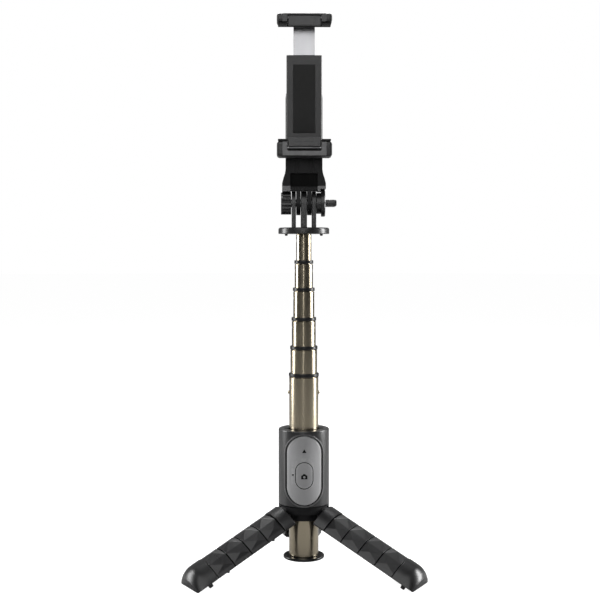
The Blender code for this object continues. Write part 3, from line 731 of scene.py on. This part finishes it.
class STICK_OT_hub(bpy.types.Operator):
    """Build the hub's shell with the remote's pocket, and the leg bracket"""

    bl_idname = "stick.hub"
    bl_label = "Hub"

    def execute(self, context):
        low, high = span("hub_shell")
        profile = [
            (HUB_BORE, high.z - 0.5),
            (HUB_BORE + 0.3, high.z - 0.2),
            (12.6, high.z - 0.2),
            (12.9, high.z),
            (15.2, high.z),
            (15.7, high.z - 0.2),
            (HUB_RADIUS, high.z - 0.7),
            (HUB_RADIUS, low.z + 0.3),
            (15.65, low.z),
            (HUB_BORE, low.z),
        ]
        shell = lathe(profile, steps_round())
        pocket = slab(stadium(23.7, 44.2, REMOTE_HEIGHT), -20.0, -10.5)
        cutters = [pocket, block((-10.9, -1.7, 54.0), (10.9, 1.7, 85.0))]
        for side in (-1, 1):
            cutters.append(bar(1.5, high.z - 1.7, high.z + 2.0, "Z", (side * 11.05, 0.0, 0.0), sides=32))
        shell = carved(shell, *cutters)
        publish(shell, "hub_shell_case", "hub", "satin_black", ("hub_shell",))
        # A rounded lip round the remote's pocket, in a lighter grey: a painted highlight along the rim
        highlight_rim = lip(24.1, 44.6, REMOTE_HEIGHT, HUB_RADIUS, 0.42, 0.28)
        publish(highlight_rim, "pocket_lip_highlight", "hub", "dark_grey_and_painted_highlight")
        low, high = span("hub_bracket")
        facet = block((-8.0, -20.0, low.z - 1.0), (8.0, -15.39, high.z + 1.0))
        bracket = round_edges(carved(frame_copy("hub_bracket"), facet), 0.2)
        publish(bracket, "leg_bracket", "hub", "deep_black", ("hub_bracket",))
        return {"FINISHED"}


class STICK_OT_remote(bpy.types.Operator):
    """Build the lift-out remote and its button"""

    bl_idname = "stick.remote"
    bl_label = "Remote"

    def execute(self, context):
        insets = [(0.0, 0.7), (0.08, 0.45), (0.28, 0.22), (0.6, 0.07), (1.1, 0.0)]
        insets += [(distance, 0.0) for distance in (2.5, 4.5, 6.5, 8.5, 10.2)]
        case = skin(on_cylinder((21.3, 43.0, REMOTE_HEIGHT), insets, 15.75), back=-10.8)
        opening = slab(stadium(11.3, 16.8, BUTTON_HEIGHT), -20.0, -13.0)
        light_hole = bar(0.6, -18.0, -13.0, "Y", (-6.9, 0.0, 54.5), sides=24)
        cavity = slab(stadium(17.0, 38.7, REMOTE_HEIGHT), -13.0, -11.7)
        back = slab(stadium(17.8, 39.5, REMOTE_HEIGHT), -11.9, -9.0)
        case = carved(case, opening, light_hole, cavity, back)
        publish(case, "remote_face", "remote", "soft_grey", ("remote_case",))
        insets = [(0.0, 0.25), (0.06, 0.1), (0.2, 0.0), (1.5, 0.0), (3.0, 0.0), (4.6, 0.0)]
        button = skin(on_cylinder((10.4, 15.9, BUTTON_HEIGHT), insets, 15.8), back=-13.6)
        publish(button, "button_cap", "shutter_button", "soft_grey", ("shutter_button",))

        seam = lip(10.85, 16.35, BUTTON_HEIGHT, 15.62, 0.24, 0.1)
        publish(seam, "button_seam", "remote", "mark_black_and_painted_shade")
        outline = [(-1.9, 52.2), (1.9, 52.2), (1.9, 54.3), (1.0, 54.7), (0.6, 55.3)]
        outline += [(-0.6, 55.3), (-1.0, 54.7), (-1.9, 54.3)]
        publish(slab(outline, -15.93, -15.4), "camera_mark", "shutter_button", "mark_black_and_painted_shade")
        lens = bar(0.7, -15.98, -15.4, "Y", (0.0, 0.0, 53.4), sides=32)
        publish(lens, "lens_mark", "shutter_button", "soft_grey")
        arrow = slab([(-1.3, 68.4), (1.3, 68.4), (0.0, 70.6)], -15.8, -15.4)
        publish(arrow, "arrow_mark", "remote", "mark_black_and_painted_shade")
        return {"FINISHED"}


# Legs


def leg_place(side):
    """Puts a leg's own frame, hinge at the origin and hanging down, in its place."""
    turn = math.radians(LEG_AZIMUTHS[side])
    joint = next(item for item in frame["joints"] if item["child"] == f"leg_{side}")
    spread = math.radians(joint["range_deg"][1])
    at_hinge = Matrix.Translation(Vector(joint["pos_m"]))
    return at_hinge @ Matrix.Rotation(turn, 4, "Z") @ Matrix.Rotation(-spread, 4, "Y")


def grip_block(start, end, outer, inner, half_angle=GRIP_HALF_ANGLE):
    """A third of a ring along a leg, in the leg's own frame."""
    shape = bmesh.new()
    half = math.radians(half_angle)
    points = [(inner, -start), (outer, -start), (outer, -end), (inner, -end)]
    corners = [
        shape.verts.new((r * math.cos(-half) * MM, r * math.sin(-half) * MM, z * MM)) for r, z in points
    ]
    face = shape.faces.new(corners)
    bmesh.ops.spin(
        shape,
        geom=[face, *face.edges, *face.verts],
        cent=(0.0, 0.0, 0.0),
        axis=(0.0, 0.0, 1.0),
        dvec=(0.0, 0.0, 0.0),
        angle=2 * half,
        steps=44,
    )
    open_edges = [edge for edge in shape.edges if edge.is_boundary]
    if open_edges:
        bmesh.ops.holes_fill(shape, edges=open_edges, sides=0)
    bmesh.ops.recalc_face_normals(shape, faces=shape.faces)
    return shape


def on_grip(radius, angle, along):
    """A point on a grip from its radius, its angle round the handle and its distance from the hinge."""
    turn = math.radians(angle)
    return Vector((radius * math.cos(turn) * MM, radius * math.sin(turn) * MM, -along * MM))


def swollen(shape, height):
    """The shape with its outside raised along the crown, less towards its sides and the end of the toe."""
    inside, fade_length = 14.5, 6.0
    for vert in shape.verts:
        if math.hypot(vert.co.x, vert.co.y) > inside * MM:
            sideways = math.cos(1.5 * math.atan2(vert.co.y, vert.co.x))
            fade = min(1.0, max(0.0, (LEG_LENGTH * MM + vert.co.z) / (fade_length * MM)))
            vert.co.x += height * MM * max(0.0, sideways) * fade
    return shape


def gem_block(start, end):
    """A grip segment cut like a gem: it swells to a crown and two side points, and draws in at each seam."""
    shape = bmesh.new()

    def ring(along, *places):
        return [shape.verts.new(on_grip(radius, angle, along)) for angle, radius in places]

    def mirrored(places):
        return [(-angle, radius) for angle, radius in places]

    head = ring(start, (0.0, 16.1), *GEM_HEAD)
    head_far = [head[0], *ring(start, *mirrored(GEM_HEAD))]
    tail = ring(end, *GEM_TAIL)
    tail_far = ring(end, *mirrored(GEM_TAIL))
    crown, point, point_far = ring(start + (end - start) * 0.45, (0.0, 17.7), (41.0, 16.8), (-41.0, 16.8))
    shape.faces.new((crown, tail[0], tail_far[0]))
    for top, side, low in ((head, point, tail), (head_far, point_far, tail_far)):
        shape.faces.new((top[0], top[1], crown))
        shape.faces.new((crown, top[1], low[1]))
        shape.faces.new((crown, low[1], low[0]))
        shape.faces.new((top[1], side, low[1]))
        shape.faces.new((top[1], top[2], side))
        shape.faces.new((side, low[2], low[1]))
        shape.faces.new((side, top[2], low[2]))
        shape.faces.new((top[2], top[3], low[3], low[2]))
    flats = 12
    angles = [-GRIP_HALF_ANGLE + 2 * GRIP_HALF_ANGLE * index / flats for index in range(flats + 1)]
    inside_head = ring(start, *((angle, GRIP_INSIDE) for angle in angles))
    inside_tail = ring(end, *((angle, GRIP_INSIDE) for angle in angles))
    for index in range(flats):
        here, there = inside_head[index : index + 2], inside_tail[index : index + 2]
        shape.faces.new((here[0], here[1], there[1], there[0]))
    shape.faces.new((*reversed(head_far), *head[1:], *reversed(inside_head)))
    shape.faces.new((*reversed(tail_far), *tail, *reversed(inside_tail)))
    shape.faces.new((head[3], tail[3], inside_tail[-1], inside_head[-1]))
    shape.faces.new((head_far[3], tail_far[3], inside_tail[0], inside_head[0]))
    bmesh.ops.recalc_face_normals(shape, faces=shape.faces)
    return round_edges(shape, 0.09, angle=3.0)


class STICK_OT_legs(bpy.types.Operator):
    """Build the three legs' faceted grips and toe caps"""

    bl_idname = "stick.legs"
    bl_label = "Legs"

    def execute(self, context):
        sizes = context.scene.stick_sizes
        half_seam = sizes.seam_width / MM / 2
        first, pitch = sizes.first_seam / MM, sizes.seam_pitch / MM
        seams = [first + pitch * index for index in range(5)]
        for side in LEG_AZIMUTHS:
            # The core shows down the seams; its near-black mark finish is painted shade in the seam grooves
            core = grip_block(3.4, seams[-1] - half_seam, 14.38, 14.0, half_angle=58.8)
            first_block = grip_block(3.3, seams[0] - half_seam, GRIP_RADIUS, GRIP_INSIDE)
            parts = [round_edges(swollen(first_block, 1.2), 0.3)]
            for start, end in zip(seams, seams[1:]):
                parts.append(gem_block(start + half_seam, end - half_seam))
            for along in (20.5, 54.5):  # pegs at the grip's edge
                parts.append(block((6.7, 11.6, -along - 0.7), (7.7, 12.7, -along + 0.7)))
            body, cover = f"leg_{side}", (f"leg_{side}_cover",)
            grip = merged(*parts)
            for shape, name, finish in ((grip, "grip", "satin_black"), (core, "core", "mark_black_and_painted_shade")):
                bmesh.ops.translate(shape, verts=shape.verts, vec=(-HINGE_REACH * MM, 0.0, 0.0))
                bmesh.ops.transform(shape, matrix=leg_place(side), verts=shape.verts)
                publish(shape, f"leg_{side}_{name}", body, finish, cover, smooth=30.0)
            node = f"leg_{side}_toe"
            toe = frame_copy(node)
            place = leg_place(side) @ Matrix.Translation((-HINGE_REACH * MM, 0.0, 0.0))
            bmesh.ops.transform(toe, matrix=place.inverted(), verts=toe.verts)
            toe = round_edges(swollen(toe, 1.35), 0.2, angle=40.0)
            bmesh.ops.transform(toe, matrix=place, verts=toe.verts)
            publish(toe, f"leg_{side}_tip", body, "satin_black", (node,), smooth=30.0)
        return {"FINISHED"}


# Head and clamp


class STICK_OT_head(bpy.types.Operator):
    """Build the head plate, the knobs and the neck"""

    bl_idname = "stick.head"
    bl_label = "Head"

    def execute(self, context):
        pieces = (
            ("head_base", "head_plate", "head", "satin_black", 0.3),
            ("nut_knob", "nut_grip", "head", "satin_black", 0.12),
            ("wing_knob", "wing_grip", "wing_screw", "satin_black", 0.3),
            ("neck", "neck_arm", "neck", "deep_black", 0.15),
        )
        for node, name, body, finish, width in pieces:
            publish(round_edges(frame_copy(node), width), name, body, finish, (node,))
        # Three near-black strips behind the neck and a near-black panel in its recess: painted shade that closes
        # the gaps above the prongs and darkens the recess
        shade_plates = [
            block((-13.5, 4.8, 230.0), (-8.2, 5.25, 231.6)),
            block((-8.3, 4.8, 230.45), (8.3, 5.25, 231.6)),
            block((8.2, 4.8, 230.0), (13.5, 5.25, 231.9)),
            block((-8.5, -4.8, 233.1), (8.5, -4.5, 241.2)),
        ]
        publish(merged(*shade_plates), "neck_painted_shade", "neck", "mark_black_and_painted_shade")
        # Raised ribs up the neck's front in a lighter grey: painted highlights on the dark neck
        highlight_ribs = [block((-3.3, -7.35, 251.5), (3.3, -6.9, 257.6))]
        for side in (-1, 1):
            low, high = sorted((side * 5.4, side * 8.0))
            highlight_ribs.append(block((low, -7.3, 251.5), (high, -6.9, 257.6)))
        # Mid-grey plates on the neck's shoulders: painted light on their front faces
        painted_light_cheeks = [
            round_edges(block((-13.45, -7.25, 230.15), (-8.5, -6.85, 233.4)), 0.12),
            round_edges(block((8.5, -7.25, 231.5), (13.45, -6.85, 233.4)), 0.12),
            round_edges(block((8.5, -7.24, 230.15), (10.2, -6.85, 232.1)), 0.12),
        ]
        publish(merged(*painted_light_cheeks), "neck_cheeks_painted_light", "neck", "mid_grey_and_painted_light")
        rounded = merged(*(round_edges(rib, 0.15) for rib in highlight_ribs))
        publish(rounded, "neck_highlight_ribs", "neck", "dark_grey_and_painted_highlight")
        return {"FINISHED"}


def flap_shape(low, high, recess_low, lip_low):
    """A flip-out lip with a raised panel and an arched foot."""
    plate = round_edges(block((-9.8, -22.9, low), (9.8, -21.2, high)), 0.3)
    panel = round_edges(block((-6.1, -23.1, recess_low), (6.1, -22.7, high - 0.15)), 0.12)
    foot = block((-9.6, -23.15, lip_low), (9.6, -22.7, lip_low + 0.55))
    arch = bar(16.0, -24.0, -22.0, "Y", (0.0, 0.0, lip_low - 15.2), sides=96)
    foot = round_edges(carved(foot, arch), 0.1)
    return merged(plate, panel, foot)


class STICK_OT_clamp(bpy.types.Operator):
    """Build the jaws, flaps, pads and the slide housing's cover"""

    bl_idname = "stick.clamp"
    bl_label = "Clamp"

    def execute(self, context):
        for node, body in (("lower_jaw", "clamp"), ("upper_jaw", "upper_jaw")):
            jaw = round_edges(frame_copy(node), 0.3)
            publish(jaw, node + "_shell", body, "jaw_black", (node,))
        for node, body in (("lower_pad", "clamp"), ("upper_pad", "upper_jaw"), ("back_pad", "clamp")):
            pad = round_edges(frame_copy(node), 0.25)
            publish(pad, node + "_grip", body, "rubber", (node,))
        cover = round_edges(frame_copy("housing_cover"), 0.25)
        publish(cover, "housing_back", "clamp", "satin_black", ("housing_cover",))

        outline = [(-13.4, 251.2), (13.4, 251.2), (13.4, 259.5), (10.6, 259.5), (10.6, 254.6), (9.9, 253.9)]
        outline += [(-9.9, 253.9), (-10.6, 254.6), (-10.6, 259.5), (-13.4, 259.5)]
        face = round_edges(slab(outline, -22.75, -22.3), 0.12)
        publish(face, "lower_jaw_front", "clamp", "mid_grey_and_painted_light")
        outline = [(-13.4, 332.7), (-10.6, 332.7), (-10.6, 336.9), (10.6, 336.9), (10.6, 332.7)]
        outline += [(13.4, 332.7), (13.4, 337.2), (12.9, 337.6), (-12.9, 337.6), (-13.4, 337.2)]
        face = round_edges(slab(outline, -22.7, -22.3), 0.12)
        publish(face, "upper_jaw_front", "upper_jaw", "dark_grey_and_painted_highlight")

        lower = flap_shape(256.7, 262.2, 259.5, 256.7)
        publish(lower, "lower_lip", "lower_flap", "dark_grey_and_painted_highlight", ("lower_flap",))
        upper = flap_shape(330.2, 336.2, 330.4, 335.4)
        publish(upper, "upper_lip", "upper_flap", "dark_grey_and_painted_highlight", ("upper_flap",))
        return {"FINISHED"}


class STICK_OT_fittings(bpy.types.Operator):
    """Finish the frame's own pins, bushes, springs and inner parts"""

    bl_idname = "stick.fittings"
    bl_label = "Fittings"

    finishes = {
        "satin_black": "satin_black",
        "gloss_black": "gloss_black",
        "soft_grey": "soft_grey",
        "bronze_tube": "champagne",
        "steel": "steel",
        "rubber": "rubber",
        "clear": "light_guide",
        "green": "board_green",
    }

    def execute(self, context):
        slots = {item["node"]: item["material_slot"] for item in frame["record"]["subparts"]}
        for name, piece in frame["nodes"].items():
            piece.data.materials.clear()
            piece.data.materials.append(FINISHES[self.finishes[slots[name]]])
        return {"FINISHED"}


# Stage


def add_light(name, place, size, power, target=(0.0, 0.0, 0.17)):
    """A soft rectangular light facing the stick."""
    data = bpy.data.lights.new(name, "AREA")
    data.shape = "RECTANGLE"
    data.size, data.size_y = size
    data.energy = power
    lamp = bpy.data.objects.new(name, data)
    lamp.location = place
    lamp.rotation_euler = (Vector(target) - Vector(place)).to_track_quat("-Z", "Y").to_euler()
    bpy.context.scene.collection.objects.link(lamp)


class STICK_OT_stage(bpy.types.Operator):
    """Set the pale floor, soft light and camera"""

    bl_idname = "stick.stage"
    bl_label = "Stage"

    def execute(self, context):
        scene = context.scene
        scene.view_settings.view_transform = "Standard"
        camera = bpy.data.objects.new("camera", bpy.data.cameras.new("camera"))
        camera.data.lens = 67.0
        camera.data.sensor_width = 36.0
        camera.location = (-0.0135, -0.703, 0.1953)
        camera.data.shift_y = -0.076
        camera.rotation_euler = (math.radians(90.0 - 0.377), 0.0, math.radians(-0.905))
        camera.data.clip_start, camera.data.clip_end = 0.01, 50.0
        scene.collection.objects.link(camera)
        scene.camera = camera

        floor = bmesh.new()
        bmesh.ops.create_circle(floor, cap_ends=True, segments=96, radius=8.0)
        bmesh.ops.translate(floor, verts=floor.verts, vec=(0.0, 0.0, -7.5 * MM))
        mesh = bpy.data.meshes.new("floor")
        floor.to_mesh(mesh)
        floor.free()
        tree, shader, place = new_finish("pale_floor")
        speckle = add_node(tree, "ShaderNodeTexNoise", Vector=place, Scale=40.0, Detail=3.0)
        tone = mix_colours(tree, speckle.outputs["Fac"], (0.34, 0.34, 0.34, 1.0), (0.36, 0.36, 0.36, 1.0))
        tree.links.new(tone, shader.inputs["Base Color"])
        shader.inputs["Roughness"].default_value = 0.9
        shader.inputs["Specular IOR Level"].default_value = 0.0
        seen = tree.nodes.new("ShaderNodeLightPath").outputs["Is Camera Ray"]
        tree.links.new(maths(tree, "MULTIPLY", seen, 0.95), shader.inputs["Emission Strength"])
        shader.inputs["Emission Color"].default_value = (1.0, 1.0, 1.0, 1.0)
        mesh.materials.append(FINISHES["pale_floor"])
        ground = bpy.data.objects.new("floor", mesh)
        scene.collection.objects.link(ground)

        world = bpy.data.worlds.new("studio")
        world.use_nodes = True
        tree = world.node_tree
        background = tree.nodes["Background"]
        direction = tree.nodes.new("ShaderNodeTexCoord").outputs["Generated"]
        parts = add_node(tree, "ShaderNodeSeparateXYZ", Vector=direction)
        limits = {"From_Min": -0.4, "From_Max": 0.8, "To_Min": 0.03, "To_Max": 0.25}
        behind = add_node(tree, "ShaderNodeMapRange", Value=parts.outputs["Y"], **limits)
        seen = tree.nodes.new("ShaderNodeLightPath").outputs["Is Camera Ray"]
        strength = maths(tree, "MAXIMUM", behind.outputs["Result"], seen)
        tree.links.new(strength, background.inputs["Strength"])
        background.inputs["Color"].default_value = (1.0, 1.0, 1.0, 1.0)
        scene.world = world

        for light in LIGHTS:
            add_light(*light)
        return {"FINISHED"}


class STICK_PT_panel(bpy.types.Panel):
    """Lists the steps that build the stick"""

    bl_label = "Selfie stick"
    bl_idname = "STICK_PT_panel"
    bl_space_type = "VIEW_3D"
    bl_region_type = "UI"
    bl_category = "Selfie stick"

    def draw(self, context):
        for group in (context.scene.stick_sizes, context.scene.stick_colours):
            for name in group.bl_rna.properties.keys():
                if name not in ("rna_type", "name"):
                    self.layout.prop(group, name)
        for operator in OPERATORS:
            self.layout.operator(operator.bl_idname)


OPERATORS = (
    STICK_OT_finishes,
    STICK_OT_stage,
    STICK_OT_pole,
    STICK_OT_collars,
    STICK_OT_hub,
    STICK_OT_remote,
    STICK_OT_legs,
    STICK_OT_head,
    STICK_OT_clamp,
    STICK_OT_fittings,
)
CLASSES = (StickSizes, StickColours, *OPERATORS, STICK_PT_panel)


def register():
    """Registers the classes and the scene's properties."""
    for item in CLASSES:
        bpy.utils.register_class(item)
    bpy.types.Scene.stick_sizes = PointerProperty(type=StickSizes)
    bpy.types.Scene.stick_colours = PointerProperty(type=StickColours)


def unregister():
    """Removes the classes and the scene's properties."""
    del bpy.types.Scene.stick_sizes
    del bpy.types.Scene.stick_colours
    for item in reversed(CLASSES):
        bpy.utils.unregister_class(item)


def main():
    """Builds the whole stick."""
    register()
    bpy.ops.stick.finishes()
    bpy.ops.stick.stage()
    bpy.ops.stick.pole()
    bpy.ops.stick.collars()
    bpy.ops.stick.hub()
    bpy.ops.stick.remote()
    bpy.ops.stick.legs()
    bpy.ops.stick.head()
    bpy.ops.stick.clamp()
    bpy.ops.stick.fittings()


if __name__ == "__main__":
    main()
